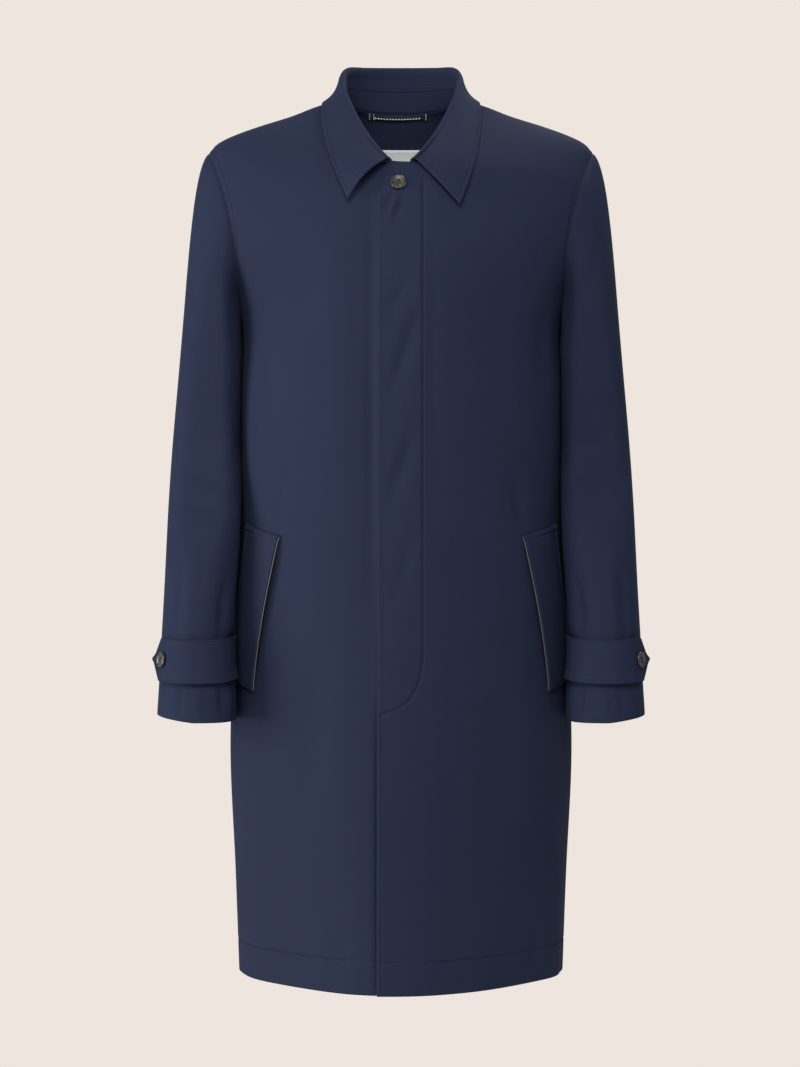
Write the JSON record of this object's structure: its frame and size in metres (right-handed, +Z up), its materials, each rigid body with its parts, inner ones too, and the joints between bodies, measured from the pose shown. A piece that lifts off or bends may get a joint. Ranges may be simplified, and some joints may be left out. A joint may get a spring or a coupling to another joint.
{
  "type": "car coat",
  "caption": "Knee-length single-breasted car coat with a fly front, turned-down collar, slanted piped welt pockets and buttoned cuff straps, in its worn shape and empty.",
  "frame": {"origin": "midway between the points where the shoulder seams meet the neckline, where the wearer's shoulders hold the coat", "axes": "+Z up, the coat faces -Y, +X towards the wearer's left"},
  "size_m": [0.5604, 0.2984, 1.0636],
  "materials": {
    "coat_cloth": "smooth matte navy weave",
    "horn": "mottled brown horn",
    "piping": "brown-beige covered cord",
    "loop_tape": "black woven tape",
    "label": "white woven label, blank"
  },
  "bodies": {
    "root": {"back": "coat_cloth", "front_left": "coat_cloth", "front_right": "coat_cloth", "sleeve_left": "coat_cloth", "sleeve_right": "coat_cloth", "collar_stand": "coat_cloth", "collar_leaf": "coat_cloth", "pocket_welt_left": "coat_cloth", "pocket_welt_right": "coat_cloth", "cuff_strap_left": "coat_cloth", "cuff_strap_right": "coat_cloth", "pocket_piping_left": "piping", "pocket_piping_right": "piping", "button_neck": "horn", "button_cuff_left": "horn", "button_cuff_right": "horn", "hanger_loop": "loop_tape", "loop_tab_left": "loop_tape", "loop_tab_right": "loop_tape", "neck_label": "label"}
  },
  "joints": []
}
